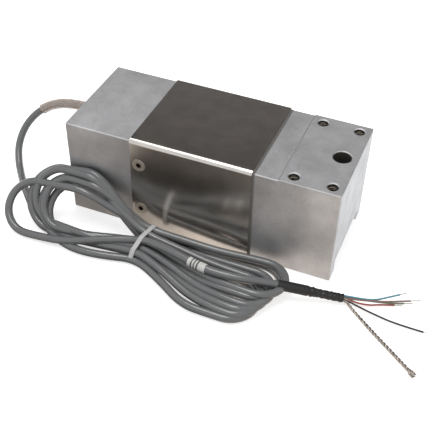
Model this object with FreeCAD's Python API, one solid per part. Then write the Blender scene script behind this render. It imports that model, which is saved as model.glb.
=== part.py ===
import FreeCAD, Part
import math
import os

# Single point load cell: a solid aluminium beam, fixed from below at its left end and loaded on
# top at its right end. A dog-bone window under the folded cover sleeve lets the beam bend as a
# parallelogram, and strain gauges above and below the window sense the bending.
# Millimetres. X runs along the beam towards the loaded end, Z is up, and the origin is the
# middle of the base.

Vec = FreeCAD.Vector
AXIS_X, AXIS_Y, AXIS_Z = Vec(1, 0, 0), Vec(0, 1, 0), Vec(0, 0, 1)

# Beam
beam_length = 190.0
beam_width = 76.0
beam_height = 72.5
edge_break = 0.6
load_pad_length = 40.4
load_pad_rise = 0.6

# Folded cover sleeve and its seals
fixed_end_length = 47.8
sleeve_length = 84.7
sleeve_sheet = 1.0
sleeve_gap = 0.5
sleeve_bend_radius = 3.0
sleeve_floor_clearance = 0.8
sleeve_seam = 0.6
relief_margin = 1.5
seal_left_width = 13.0
seal_right_width = 3.4
seal_bead = 1.5

# Window through the beam and the gauge recesses above and below it
window_bore_radius = 16.5
window_bore_spacing = 43.0
window_slot_height = 14.0
window_corner_radius = 3.0
recess_length = 62.0
recess_width = 40.0
recess_depth = 3.0
recess_corner_radius = 5.0

# Mounting and overload holes
bolt_spacing_x = 25.0
bolt_spacing_y = 61.6
bolt_end_distance = 7.7
tapped_radius = 3.4
tapped_depth = 22.0
countersink_radius = 4.2
stop_radius = 6.0
stop_end_distance = 10.6
stop_chamfer = 0.6

# Clearance channel under the loaded end
channel_width = 56.0
channel_height = 10.0
channel_length = 46.0
channel_corner_radius = 2.0

# Cover screws, 90 degree countersunk heads with a hexagon socket
cover_screw_inset = 6.2
cover_screw_spacing = 37.3
screw_radius = 2.45
screw_hole_radius = 2.5
screw_length = 14.0
screw_head_radius = 4.6
screw_head_rim = 0.3
screw_head_proud = 0.2
screw_socket_width = 3.0
screw_socket_depth = 1.8

# Strain gauges, their coating and their wiring
gauge_length, gauge_width, gauge_thickness = 8.0, 22.0, 0.3
coat_length, coat_width, coat_thickness = 12.0, 30.0, 1.4
gauge_wire_radius = 0.6
gauge_wire_row = 12.0
gauge_wire_lift = 0.7
gauge_wire_half_gap = 0.8
wire_hole_radius = 1.7
board_length, board_width, board_thickness = 10.0, 46.0, 1.6
standoff_radius, standoff_height = 2.5, 3.0
standoff_row = 18.0
board_screw_radius = 1.2
board_screw_head_radius = 2.2
board_screw_head_height = 1.3
board_screw_depth = 5.0
board_screw_slot = 0.6
board_corner_radius = 1.0
resistor_length, resistor_width, resistor_height = 3.2, 1.6, 0.8
resistor_rows = (-6.0, -2.0, 2.0, 6.0)
resistor_offset = -2.0

# Cable gland in the left end face
gland_y = 12.0
gland_z = 50.0
gland_shank_radius = 6.0
gland_shank_length = 11.0
gland_hole_depth = 12.5
gland_hole_clearance = 0.05
gland_hex_width = 14.0
gland_hex_height = 4.0
gland_nose_radius = 5.4
gland_nose_length = 5.0
gland_back_wall = 3.0
seal_length = 4.0
channel_bore_radius = 3.2
potting_length = 8.0
core_radius = 0.5
core_pitch = 1.2
core_turn_in = 10.0
core_rise, core_drop = 6.0, 5.0

# Cable
cable_diameter = 5.4
cable_clearance = 0.1
cable_inside = 9.0
sleeve_tube_radius = 3.9
sleeve_tube_clearance = 0.3
sleeve_tube_points = 6
sleeve_tube_shares = (0.6, 0.5)

# The cable's free stretch, from the gland to the hank
lead_route = [
    (-118, 12.5, 49), (-131, 14, 45.5), (-143, 14.5, 39.5), (-153, 10.5, 32), (-159, 3, 23),
    (-160, -6, 13.5), (-155.5, -15.5, 6), (-148, -25, 2.7), (-139.5, -34.8, 2.7),
    (-130, -44.5, 2.7), (-119.5, -54.5, 2.7), (-107.5, -63.5, 2.7), (-95, -71.5, 2.7),
]

# The hank: rounded sections across the bundle, from its left end to its right end. Each has its
# place along X, the centres of its near and far rounding as (y, z), and the rounding's radius.
hank_sections = [
    (-140.5, (-64.0, 5.5), (-55.0, 8.0), 2.9),
    (-133.0, (-74.0, 4.6), (-50.0, 13.0), 3.6),
    (-119.0, (-77.5, 6.2), (-47.0, 25.0), 5.6),
    (-100.0, (-78.0, 6.8), (-45.0, 36.5), 6.4),
    (-82.0, (-78.0, 6.8), (-45.0, 38.0), 6.4),
    (-62.0, (-76.0, 7.2), (-47.0, 27.5), 6.4),
    (-45.0, (-72.5, 7.4), (-48.0, 15.5), 6.3),
    (-33.0, (-69.0, 7.4), (-47.5, 7.9), 6.3),
    (-25.0, (-69.0, 7.4), (-47.5, 7.9), 6.3),
    (-10.0, (-74.0, 6.2), (-47.5, 6.6), 5.8),
    (20.0, (-93.5, 5.2), (-47.0, 5.6), 5.0),
    (45.0, (-96.0, 5.1), (-49.0, 5.6), 5.0),
    (60.0, (-82.0, 5.1), (-54.0, 5.6), 5.0),
    (68.5, (-69.0, 5.6), (-60.0, 6.0), 4.6),
]
# The eye between the far and the near strands of the left loops, as (x, y, z) at its middle height
eye_near_end, eye_far_end = (-104.0, -62.0, 19.0), (-58.0, -61.0, 15.5)
eye_radii = (7.5, 3.5)
eye_cut = 60.0

# White tie round the waist of the hank
tie_x = -29.0
tie_width = 3.5
tie_thickness = 0.8

# The cable's end, from the top of the hank to the shrink tube, with its marker sleeve
tail_route = [
    (-20, -63.5, 16.4), (-8, -64.5, 15.8), (5, -66.5, 14.6), (22, -70, 14.2), (38, -69.5, 14.0),
    (52, -68.2, 13.4), (62.9, -65.9, 12.0), (70.5, -63.7, 10.7),
]
marker_start, marker_end = (8.6, -67.25, 14.5), (21.6, -69.92, 14.2)
marker_radius = 3.4

# Shrink tube over the end of the jacket, a wide part and a narrow part
shrink_wide_length = 19.5
shrink_taper_length = 4.0
shrink_narrow_length = 16.5
shrink_wide_radius = 3.5
shrink_narrow_radius = 2.9

# Cores out of the shrink tube: their places on its end face as (sideways, up), and their routes
core_start = 2.5
wire_radius = 0.6
tip_radius = 0.35
tip_length = 6.5
wires = {
    "blue": ((0.6, 1.9), [(123, -48, 4.4), (129, -45.2, 4.1), (134.5, -40.3, 3.8), (141.3, -34.6, 3.6)]),
    "green": ((1.9, 0.4), [(119, -48.8, 3.2), (129, -45.8, 2.7), (139.5, -43, 2.6), (145.5, -40.2, 2.6)]),
    "brown": ((-0.9, 1.6), [(118, -51, 4.9), (130, -46.8, 4.5), (139.5, -42.7, 4.3), (149, -37.8, 4.2)]),
    "red": ((0.5, 0.2), [(116, -52.0, 2.8), (125, -49.6, 1.5), (131.5, -45.9, 1.3), (140, -42.8, 1.2)]),
    "black": ((0.6, -1.7), [(118, -53.2, 1.6), (130, -55.4, 1.1), (145, -57.6, 0.9), (162, -57.6, 1.2)]),
}
braid_radius = 1.2
braid_place = (-1.5, -0.6)
braid_route = [(114, -56.0, 2.0), (124, -63.5, 1.5), (136, -72.8, 1.4), (148, -81.6, 1.5),
               (160, -91.2, 2.3)]
knot_radius = 1.9
knot_length = 5.0

# Worked-out places
half_length, half_width = beam_length / 2, beam_width / 2
top_of_pad = beam_height + load_pad_rise
sleeve_left = -half_length + fixed_end_length
sleeve_right = sleeve_left + sleeve_length
sleeve_middle = (sleeve_left + sleeve_right) / 2
belly = sleeve_floor_clearance + sleeve_sheet + sleeve_gap
window_z = (belly + beam_height) / 2
window_ends = (sleeve_middle - window_bore_spacing / 2, sleeve_middle + window_bore_spacing / 2)
slot_floor = window_z - window_slot_height / 2
board_bottom = slot_floor + standoff_height
board_top = board_bottom + board_thickness
cable_radius = cable_diameter / 2
gland_mouth = -half_length - gland_hex_height - gland_nose_length
cable_start = -half_length + cable_inside


def box(x0, x1, y0, y1, z0, z1):
    return Part.makeBox(x1 - x0, y1 - y0, z1 - z0, Vec(x0, y0, z0))


def cylinder(radius, length, base, axis):
    return Part.makeCylinder(radius, length, Vec(*base), axis)


def rounded_box(x0, x1, y0, y1, z0, z1, radius, along):
    """A box whose edges that run along one axis are rounded."""
    block = box(x0, x1, y0, y1, z0, z1)
    picked = []
    for edge in block.Edges:
        run = edge.Vertexes[1].Point.sub(edge.Vertexes[0].Point).normalize()
        if abs(run.dot(along)) > 0.99:
            picked.append(edge)
    return block.makeFillet(radius, picked)


def countersunk(radius, depth, sink_radius, mouth, axis):
    """A drilled hole with a 45 degree countersink; axis points out of the mouth."""
    inward = axis.negative()
    sink = sink_radius - radius
    drill = cylinder(radius, depth, mouth, inward)
    cone = Part.makeCone(sink_radius, radius, sink, Vec(*mouth), inward)
    return drill.fuse(cone)


def bolt_places(middle_x):
    return [(middle_x + sx * bolt_spacing_x / 2, sy * bolt_spacing_y / 2)
            for sx in (-1, 1) for sy in (-1, 1)]


def cover_screw_places():
    """Front and back screws at the fixed end: (x, y of the beam's face, z, outward axis)."""
    x = sleeve_left + cover_screw_inset
    return [(x, side * half_width, beam_height / 2 + up * cover_screw_spacing / 2, AXIS_Y * side)
            for side in (-1, 1) for up in (-1, 1)]


def screw_heads():
    """The cover screws' heads, rim and cone, which also cut their seats."""
    rise = sleeve_gap + sleeve_sheet + screw_head_proud
    heads = []
    for x, y, z, axis in cover_screw_places():
        top = Vec(x, y, z) + axis * rise
        inward = axis.negative()
        rim = Part.makeCylinder(screw_head_radius, screw_head_rim, top, inward)
        cone = Part.makeCone(screw_head_radius, screw_radius, screw_head_radius - screw_radius,
                             top + inward * screw_head_rim, inward)
        heads.append(rim.fuse(cone))
    return heads


# ---------------------------------------------------------------- beam

def beam_block():
    """The bare block, its loading pad raised and its belly relieved for the sleeve."""
    block = box(-half_length, half_length, -half_width, half_width, 0, beam_height)
    block = block.makeChamfer(edge_break, block.Edges)
    pad = box(half_length - load_pad_length, half_length, -half_width, half_width,
              beam_height - 2 * edge_break, top_of_pad)
    broken = [e for e in pad.Edges if min(v.Z for v in e.Vertexes) > top_of_pad - 0.01
              or (e.Length < beam_width / 2 and e.Vertexes[0].X > half_length - 0.01
                  and abs(e.Vertexes[0].Z - e.Vertexes[1].Z) > edge_break)]
    block = block.fuse(pad.makeChamfer(edge_break / 2, broken)).removeSplitter()
    over = 2 * edge_break
    x0, x1 = sleeve_left - relief_margin, sleeve_right + relief_margin
    relief = box(x0, x1, -half_width - over, half_width + over, -over, belly + sleeve_bend_radius)
    return block.cut(relief.cut(sleeve_profile(sleeve_sheet + sleeve_gap, x0, x1)))


def window():
    """The dog-bone window: two bores joined by a slot, their cusps rounded."""
    depth = beam_width + 2
    bores = [cylinder(window_bore_radius, depth, (x, -depth / 2, window_z), AXIS_Y)
             for x in window_ends]
    slot = box(window_ends[0], window_ends[1], -depth / 2, depth / 2,
               window_z - window_slot_height / 2, window_z + window_slot_height / 2)
    shape = bores[0].fuse([bores[1], slot]).removeSplitter()
    cusps = [e for e in shape.Edges if abs(e.Length - depth) < 0.01
             and abs(abs(e.Vertexes[0].Z - window_z) - window_slot_height / 2) < 0.01]
    return shape.makeFillet(window_corner_radius, cusps)


def gauge_recesses():
    x0, x1 = sleeve_middle - recess_length / 2, sleeve_middle + recess_length / 2
    y = recess_width / 2
    top = rounded_box(x0, x1, -y, y, beam_height - recess_depth, beam_height + 1,
                      recess_corner_radius, AXIS_Z)
    bottom = rounded_box(x0, x1, -y, y, belly - 1, belly + recess_depth,
                         recess_corner_radius, AXIS_Z)
    return [top, bottom]


def wire_holes():
    """Drillings from the gauge recesses into the slot of the window."""
    upper = cylinder(wire_hole_radius, beam_height - window_z, (sleeve_middle, gauge_wire_row, window_z),
                     AXIS_Z)
    lower = cylinder(wire_hole_radius, window_z - belly, (sleeve_middle, -gauge_wire_row, belly), AXIS_Z)
    return [upper, lower]


def mounting_holes():
    middle = half_length - bolt_end_distance - bolt_spacing_x / 2
    holes = [countersunk(tapped_radius, tapped_depth, countersink_radius, (x, y, top_of_pad), AXIS_Z)
             for x, y in bolt_places(middle)]
    holes += [countersunk(tapped_radius, tapped_depth, countersink_radius, (x, y, 0), AXIS_Z.negative())
              for x, y in bolt_places(-middle)]
    stop_x = half_length - stop_end_distance
    holes.append(countersunk(stop_radius, top_of_pad, stop_radius + stop_chamfer,
                             (stop_x, 0, top_of_pad), AXIS_Z))
    return holes


def clearance_channel():
    """The channel under the loaded end, open at the end face, with rounded corners."""
    over = channel_corner_radius + 1
    return rounded_box(half_length - channel_length, half_length + over, -channel_width / 2,
                       channel_width / 2, -over, channel_height, channel_corner_radius, AXIS_X)


def cable_passage():
    """The gland's counterbore and the drilling from it into the window."""
    counterbore = cylinder(gland_shank_radius + gland_hole_clearance, gland_hole_depth,
                           (-half_length, gland_y, gland_z), AXIS_X)
    drilling = cylinder(channel_bore_radius, window_ends[0] + half_length,
                        (-half_length, gland_y, gland_z), AXIS_X)
    return counterbore.fuse(drilling)


def make_beam():
    cuts = [window(), clearance_channel(), cable_passage()]
    cuts += gauge_recesses() + wire_holes() + mounting_holes()
    cuts += screw_heads()
    for x, y, z, axis in cover_screw_places():
        cuts.append(cylinder(screw_hole_radius, screw_length, (x, y, z), axis.negative()))
    row = [(sleeve_middle, y) for y in (-standoff_row, standoff_row)]
    depth = board_screw_depth - board_thickness + 1
    cuts += [cylinder(board_screw_radius, depth, (x, y, slot_floor), AXIS_Z.negative()) for x, y in row]
    return beam_block().cut(cuts)


# ---------------------------------------------------------------- sleeve, seals and screws

def sleeve_profile(inset, x0, x1):
    """A prism of the sleeve's outer section, moved inwards by inset."""
    half = half_width + sleeve_gap + sleeve_sheet - inset
    low = sleeve_floor_clearance + inset
    high = beam_height + sleeve_gap + sleeve_sheet - inset
    return rounded_box(x0, x1, -half, half, low, high, sleeve_bend_radius - inset, AXIS_X)


def make_sleeve():
    over = 1.0
    shell = sleeve_profile(0, sleeve_left, sleeve_right)
    shell = shell.cut(sleeve_profile(sleeve_sheet, sleeve_left - over, sleeve_right + over))
    seam = box(sleeve_left - over, sleeve_right + over, -sleeve_seam / 2, sleeve_seam / 2, 0, belly)
    return shell.cut([seam] + screw_heads())


def make_seal(x0, x1):
    """A soft band that fills the gap between the sleeve and the beam."""
    return sleeve_profile(sleeve_sheet, x0, x1).cut([beam_block()] + screw_heads())


def hexagon(across_flats, height, base, axis):
    points = []
    side = AXIS_Z if abs(axis.z) < 0.5 else AXIS_X
    other = axis.cross(side)
    for k in range(7):
        angle = k * math.pi / 3
        spoke = side * math.cos(angle) + other * math.sin(angle)
        points.append(Vec(*base) + spoke * (across_flats / math.sqrt(3)))
    return Part.Face(Part.makePolygon(points)).extrude(axis * height)


def make_cover_screws():
    """Countersunk screws: the heads, plain shanks and hexagon sockets."""
    rise = sleeve_gap + sleeve_sheet + screw_head_proud
    shapes = []
    for head, (x, y, z, axis) in zip(screw_heads(), cover_screw_places()):
        top = Vec(x, y, z) + axis * rise
        shank = Part.makeCylinder(screw_radius, screw_length, top, axis.negative())
        floor = top - axis * screw_socket_depth
        socket = hexagon(screw_socket_width, screw_socket_depth, tuple(floor), axis)
        shapes.append(head.fuse(shank).removeSplitter().cut(socket))
    return shapes


# ---------------------------------------------------------------- gauges and board

def gauge_places():
    """(x, z of the recess floor, direction away from it) of each gauge."""
    return [(x, z, way) for x in window_ends
            for z, way in ((beam_height - recess_depth, 1), (belly + recess_depth, -1))]


def slab(x, z, way, length, width, thickness):
    low, high = sorted((z, z + way * thickness))
    return box(x - length / 2, x + length / 2, -width / 2, width / 2, low, high)


def make_gauges():
    return [slab(x, z, way, gauge_length, gauge_width, gauge_thickness) for x, z, way in gauge_places()]


def make_coats():
    return [slab(x, z, way, coat_length, coat_width, coat_thickness)
            .cut(slab(x, z, way, gauge_length, gauge_width, gauge_thickness))
            for x, z, way in gauge_places()]


def make_gauge_wires():
    """One lead from each coating, along the recess and through the drilling to the board."""
    shapes = []
    for x, z, way in gauge_places():
        side = -1 if x < sleeve_middle else 1
        y = way * gauge_wire_row
        level = z + way * gauge_wire_lift
        drop_x = sleeve_middle + side * gauge_wire_half_gap
        board_face = board_top if way > 0 else board_bottom
        points = [(x - side * coat_length / 2, y, level), (drop_x, y, level), (drop_x, y, board_face)]
        shapes.append(tube(points, gauge_wire_radius, bend=2 * gauge_wire_radius))
    return shapes


def make_board():
    x0, x1 = sleeve_middle - board_length / 2, sleeve_middle + board_length / 2
    board = rounded_box(x0, x1, -board_width / 2, board_width / 2, board_bottom, board_top,
                        board_corner_radius, AXIS_Z)
    holes = [cylinder(board_screw_radius, board_thickness, (sleeve_middle, y, board_bottom), AXIS_Z)
             for y in (-standoff_row, standoff_row)]
    return board.cut(holes)


def make_standoffs():
    return [cylinder(standoff_radius, standoff_height, (sleeve_middle, y, slot_floor), AXIS_Z)
            .cut(cylinder(board_screw_radius, standoff_height, (sleeve_middle, y, slot_floor), AXIS_Z))
            for y in (-standoff_row, standoff_row)]


def make_board_screws():
    shapes = []
    for y in (-standoff_row, standoff_row):
        head = cylinder(board_screw_head_radius, board_screw_head_height, (sleeve_middle, y, board_top), AXIS_Z)
        shank = cylinder(board_screw_radius, standoff_height + board_screw_depth,
                         (sleeve_middle, y, board_top), AXIS_Z.negative())
        slot = box(sleeve_middle - board_screw_head_radius, sleeve_middle + board_screw_head_radius,
                   y - board_screw_slot / 2, y + board_screw_slot / 2,
                   board_top + board_screw_head_height / 2, board_top + board_screw_head_height)
        shapes.append(head.fuse(shank).cut(slot))
    return shapes


def make_resistors():
    x = sleeve_middle + resistor_offset
    return [box(x - resistor_width / 2, x + resistor_width / 2, y - resistor_length / 2,
                y + resistor_length / 2, board_top, board_top + resistor_height)
            for y in resistor_rows]


# ---------------------------------------------------------------- cable

def rounded_path(points, bend=None, report=None, shares=(0.0, 1.0)):
    """Straight runs joined by tangent arcs, each arc as large as its two runs allow.

    shares say where along its first and its last run the path starts and ends.
    """
    points = [Vec(*p) for p in points]
    start = points[0] + points[1].sub(points[0]) * shares[0]
    end = points[-2] + points[-1].sub(points[-2]) * shares[1]
    edges, radii = [], []
    for before, corner, after in zip(points, points[1:], points[2:]):
        run_in, run_out = corner.sub(before), after.sub(corner)
        half_turn = run_in.getAngle(run_out) / 2
        reach = 0.45 * min(run_in.Length, run_out.Length)
        radius = reach / math.tan(half_turn)
        if bend:
            radius = min(radius, bend)
            reach = radius * math.tan(half_turn)
        radii.append(radius)
        way_in, way_out = run_in.normalize(), run_out.normalize()
        arc_start, arc_end = corner - way_in * reach, corner + way_out * reach
        inward = (way_out - way_in).normalize()
        middle = corner + inward * (radius / math.cos(half_turn) - radius)
        edges.append(Part.LineSegment(start, arc_start).toShape())
        edges.append(Part.Arc(arc_start, middle, arc_end).toShape())
        start = arc_end
    edges.append(Part.LineSegment(start, end).toShape())
    if report:
        print(report, "radii", [round(r, 1) for r in radii])
    return Part.Wire(edges)


def tube(points, radius, bore=0.0, bend=None, report=None, shares=(0.0, 1.0)):
    """A round tube, or a solid cord where bore is 0, along the rounded path."""
    path = rounded_path(points, bend, report, shares)
    way = Vec(*points[1]).sub(Vec(*points[0]))
    section = Part.Wire(Part.makeCircle(radius, Vec(*points[0]) + way * shares[0], way))
    shape = path.makePipeShell([section], True, True)
    if report:
        expected = math.pi * radius ** 2 * path.Length
        print(report, "length", round(path.Length, 1), "volume ratio", round(shape.Volume / expected, 4))
    if bore:
        shape = shape.cut(tube(points, bore, bend=bend, shares=shares))
    return shape


def make_gland():
    """The gland: a shank in the beam, a hexagon against the end face and a plain nose."""
    face = (-half_length, gland_y, gland_z)
    outward = AXIS_X.negative()
    body = cylinder(gland_shank_radius, gland_shank_length, face, AXIS_X)
    body = body.fuse(hexagon(gland_hex_width, gland_hex_height, face, outward))
    nose = (-half_length - gland_hex_height, gland_y, gland_z)
    body = body.fuse(cylinder(gland_nose_radius, gland_nose_length, nose, outward))
    mouth = (gland_mouth, gland_y, gland_z)
    wide = gland_hex_height + gland_nose_length + gland_shank_length - gland_back_wall
    bore = cylinder(sleeve_tube_radius + sleeve_tube_clearance, wide, mouth, AXIS_X)
    through = cylinder(cable_radius + cable_clearance, 2 * wide, mouth, AXIS_X)
    return body.cut([bore, through])


def make_gland_seal():
    end = -half_length + gland_shank_length - gland_back_wall
    ring = cylinder(sleeve_tube_radius + sleeve_tube_clearance, seal_length,
                    (end - seal_length, gland_y, gland_z), AXIS_X)
    return ring.cut(cylinder(cable_radius + cable_clearance / 2, seal_length,
                             (end - seal_length, gland_y, gland_z), AXIS_X))


def lead_points():
    return [(cable_start, gland_y, gland_z), (gland_mouth, gland_y, gland_z)] + lead_route


def make_strain_relief():
    """The stiff sleeve over the cable: it starts in the gland and follows the lead."""
    return tube(lead_points()[:sleeve_tube_points], sleeve_tube_radius,
                bore=cable_radius + cable_clearance, shares=sleeve_tube_shares)


def make_lead(hank):
    return largest(tube(lead_points(), cable_radius, report="cable_lead").cut(hank))


def make_cores():
    """The four cores inside the beam, from the end of the jacket to the board."""
    shapes = []
    for k in range(4):
        y = gland_y + (k - 1.5) * core_pitch
        points = [(cable_start, y, gland_z), (window_ends[0] - window_bore_radius, y, gland_z),
                  (sleeve_middle - core_turn_in, y, board_top + core_rise),
                  (sleeve_middle - board_length / 4, y, board_top + core_drop),
                  (sleeve_middle - board_length / 4, y, board_top)]
        shapes.append(tube(points, core_radius))
    return shapes


def make_potting(cores):
    """Sealing compound round the cores at the outer end of the drilling."""
    start = (-half_length + gland_hole_depth, gland_y, gland_z)
    return cylinder(channel_bore_radius, potting_length, start, AXIS_X).cut(cores)


def oval(x, near, far, radius):
    """A section across the hank: a slot shape from its near to its far rounding."""
    a, b = Vec(x, *near), Vec(x, *far)
    along = b.sub(a).normalize()
    across = AXIS_X.cross(along)
    a0, a1, b0, b1 = a - across * radius, a + across * radius, b - across * radius, b + across * radius
    edges = [Part.LineSegment(a0, b0).toShape(), Part.Arc(b0, b + along * radius, b1).toShape(),
             Part.LineSegment(b1, a1).toShape(), Part.Arc(a1, a - along * radius, a0).toShape()]
    return Part.Wire(edges)


def make_hank():
    """The closed outer shape of the tied turns: the left loops lean on the beam's front."""
    body = Part.makeLoft([oval(*section) for section in hank_sections], True, True)
    ends = [Vec(*eye_near_end), Vec(*eye_far_end)]
    tilt = Vec(0, -1, 1).normalize()
    run = ends[1].sub(ends[0])
    flat_run = run.sub(tilt * run.dot(tilt))
    along = flat_run.normalize()
    ends[1] = ends[0] + along * run.dot(along)
    sides = along.cross(tilt)
    corners = []
    for centre, radius in zip(ends, eye_radii):
        corners += [centre + sides * radius, centre - sides * radius]
    tip_a = ends[0] - along * eye_radii[0]
    tip_b = ends[1] + along * eye_radii[1]
    edges = [Part.LineSegment(corners[0], corners[2]).toShape(),
             Part.Arc(corners[2], tip_b, corners[3]).toShape(),
             Part.LineSegment(corners[3], corners[1]).toShape(),
             Part.Arc(corners[1], tip_a, corners[0]).toShape()]
    outline = Part.Face(Part.Wire(edges))
    outline.translate(tilt * (-eye_cut / 2))
    return body.cut(outline.extrude(tilt * eye_cut))


def waist_section():
    """The hank's section at the tie, between its two nearest sections."""
    return min(hank_sections, key=lambda section: abs(section[0] - tie_x))


def make_tie():
    near, far, radius = waist_section()[1:]
    outer = Part.Face(oval(tie_x - tie_width / 2, near, far, radius + tie_thickness))
    inner = Part.Face(oval(tie_x - tie_width, near, far, radius))
    return outer.extrude(AXIS_X * tie_width).cut(inner.extrude(AXIS_X * (3 * tie_width)))


def make_tail(hank, tie):
    return largest(tube(tail_route, cable_radius, report="cable_tail").cut([hank, tie]))


def make_marker(tail):
    """A slip-on marker sleeve round the tail."""
    start, end = Vec(*marker_start), Vec(*marker_end)
    run = end.sub(start)
    return Part.makeCylinder(marker_radius, run.Length, start, run).cut(tail)


def shrink_way():
    """The shrink tube goes straight on from the tail's last run."""
    return Vec(*tail_route[-1]).sub(Vec(*tail_route[-2])).normalize()


def make_shrink_wide():
    way, start = shrink_way(), Vec(*tail_route[-1])
    straight = Part.makeCylinder(shrink_wide_radius, shrink_wide_length, start, way)
    taper = Part.makeCone(shrink_wide_radius, shrink_narrow_radius, shrink_taper_length,
                          start + way * shrink_wide_length, way)
    return straight.fuse(taper)


def make_shrink_narrow():
    start = Vec(*tail_route[-1]) + shrink_way() * (shrink_wide_length + shrink_taper_length)
    return Part.makeCylinder(shrink_narrow_radius, shrink_narrow_length, start, shrink_way())


def core_points(place, route):
    """A core's route: straight out of the shrink tube's end face, then along its own points."""
    way = shrink_way()
    side = AXIS_Z.cross(way).normalize()
    length = shrink_wide_length + shrink_taper_length + shrink_narrow_length
    start = Vec(*tail_route[-1]) + way * length + side * place[0] + way.cross(side) * place[1]
    return [tuple(start), tuple(start + way * core_start)] + route


def make_wire(place, route):
    return tube(core_points(place, route), wire_radius)


def make_tip(route):
    """The bare, tinned strand at the end of a core."""
    end, before = Vec(*route[-1]), Vec(*route[-2])
    return Part.makeCylinder(tip_radius, tip_length, end, end.sub(before))


def make_braid():
    return tube(core_points(braid_place, braid_route), braid_radius)


def make_knot():
    """The flared, twisted end of the braid."""
    end, before = Vec(*braid_route[-1]), Vec(*braid_route[-2])
    run = end.sub(before).normalize()
    return Part.makeCone(braid_radius, knot_radius, knot_length, end, run)


def largest(shape):
    return max(shape.Solids, key=lambda solid: solid.Volume)


# ---------------------------------------------------------------- write the parts

def build():
    tie = make_tie()
    hank = make_hank().cut(tie)
    tail = make_tail(hank, tie)
    cores = make_cores()
    parts = {
        "beam_body": make_beam(),
        "cover_sleeve": make_sleeve(),
        "sleeve_seal_left": make_seal(sleeve_left, sleeve_left + seal_left_width),
        "sleeve_seal_right": make_seal(sleeve_right - seal_right_width, sleeve_right + seal_bead),
        "cover_screws": make_cover_screws(),
        "strain_gauges": make_gauges(),
        "gauge_coatings": make_coats(),
        "gauge_wires": make_gauge_wires(),
        "terminal_board": make_board(),
        "board_standoffs": make_standoffs(),
        "board_screws": make_board_screws(),
        "trim_resistors": make_resistors(),
        "core_wires": cores,
        "cable_potting": make_potting(cores),
        "cable_gland": make_gland(),
        "gland_seal": make_gland_seal(),
        "strain_relief": make_strain_relief(),
        "cable_lead": make_lead(hank),
        "cable_hank": hank,
        "hank_tie": tie,
        "cable_tail": tail,
        "marker_sleeve": make_marker(tail),
        "shrink_tube_wide": make_shrink_wide(),
        "shrink_tube_narrow": make_shrink_narrow(),
        "shield_braid": make_braid(),
        "braid_end": make_knot(),
    }
    for colour, (place, route) in wires.items():
        parts["wire_" + colour] = make_wire(place, route)
        parts["tip_" + colour] = make_tip(route)
    return parts


os.makedirs("parts", exist_ok=True)
for name, shape in build().items():
    solids = shape if isinstance(shape, list) else [shape]
    group = Part.makeCompound(solids) if len(solids) > 1 else solids[0]
    group.exportStep("parts/" + name + ".step")
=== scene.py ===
"""Looks of a single point load cell: milled aluminium, a polished cover sleeve and a tied signal cable."""

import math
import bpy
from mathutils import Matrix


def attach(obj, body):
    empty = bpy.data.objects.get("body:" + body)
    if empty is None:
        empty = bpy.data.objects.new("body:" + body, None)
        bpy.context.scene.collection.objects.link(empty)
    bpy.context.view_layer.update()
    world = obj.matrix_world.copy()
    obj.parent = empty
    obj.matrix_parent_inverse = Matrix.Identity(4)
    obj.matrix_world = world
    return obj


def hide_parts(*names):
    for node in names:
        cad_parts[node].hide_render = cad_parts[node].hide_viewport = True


bl_info = {
    "name": "Single point load cell",
    "version": (1, 0, 0),
    "blender": (4, 5, 0),
    "location": "3D Viewport > Sidebar > Load cell",
    "description": "Dresses a load cell's CAD frame with its finishes, its cable and a studio",
    "category": "Add Mesh",
}

import bmesh
import bpy
from mathutils import Matrix, Vector

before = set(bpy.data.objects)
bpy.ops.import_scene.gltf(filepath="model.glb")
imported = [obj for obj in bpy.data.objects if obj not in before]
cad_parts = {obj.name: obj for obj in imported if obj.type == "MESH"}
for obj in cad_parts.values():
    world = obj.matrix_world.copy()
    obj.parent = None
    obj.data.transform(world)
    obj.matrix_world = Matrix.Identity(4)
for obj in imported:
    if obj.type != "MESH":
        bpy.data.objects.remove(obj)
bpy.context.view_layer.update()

MM = 0.001

# Sizes of the beam and of the cable's fittings, in millimetres, as in the part's source
TOP_OF_PAD, PAD_EDGE_X, PAD_FOOT_Z = 73.1, 54.6, 72.3
BOLTS_X, BOLTS_HALF_X, BOLTS_HALF_Y = 74.8, 12.5, 30.8
TAPPED_RADIUS, TAPPED_DEPTH = 3.4, 22.0
# The thread's ridge starts inside the countersink and ends above the drill's tip
THREAD_LEAD_IN, THREAD_RUN_OUT, THREAD_RIDGE = 1.2, 4.0, 0.34
STOP_X, STOP_RADIUS = 84.4, 6.0
# Painted shade on a hole's wall reaches this far past its radius, which takes in the facets
HOLE_SHADE_MARGIN = 0.08
# The cover screws' axes (x, z), and how far a screw stands from their middle
SCREWS_MIDDLE, SCREWS_HALF, SOCKET_RADIUS = (-41.0, 36.25), (0.0, 18.65), 1.9
GLAND_Y, GLAND_Z = 12.0, 50.0
GLAND_MOUTH_X = -104.0
CABLE_START_X = -86.0
# The strain relief: where it starts and ends, its radius and bore, and the lip at its end
RELIEF_SPAN, RELIEF_RADIUS, RELIEF_BORE = (-147.5, -99.5), 3.75, 2.85
RELIEF_LIP, RELIEF_LIP_LENGTH = 0.15, 2.0
SHRINK_WIDE, SHRINK_TAPER, SHRINK_NARROW = 19.5, 4.0, 16.5
CORE_START = 2.5
KNOT_LENGTH = 5.0

# Route of the cable from the gland to the hank
LEAD = [
    (CABLE_START_X, GLAND_Y, GLAND_Z), (GLAND_MOUTH_X, GLAND_Y, GLAND_Z),
    (-118, 12.5, 49), (-131, 14, 45.5), (-143, 14.5, 39.5), (-153, 10.5, 32), (-159, 3, 23),
    (-160, -6, 13.5), (-155.5, -15.5, 6), (-148, -25, 2.7), (-139.5, -34.8, 2.7),
    (-130, -44.5, 2.7), (-119.5, -54.5, 2.7), (-107.5, -63.5, 2.7), (-95, -71.5, 2.7),
]
# From the floor up into the first turn
LEAD_IN = [(-83, -77.5, 2.7), (-68, -80, 2.7), (-50, -77.5, 2.7)]

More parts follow.
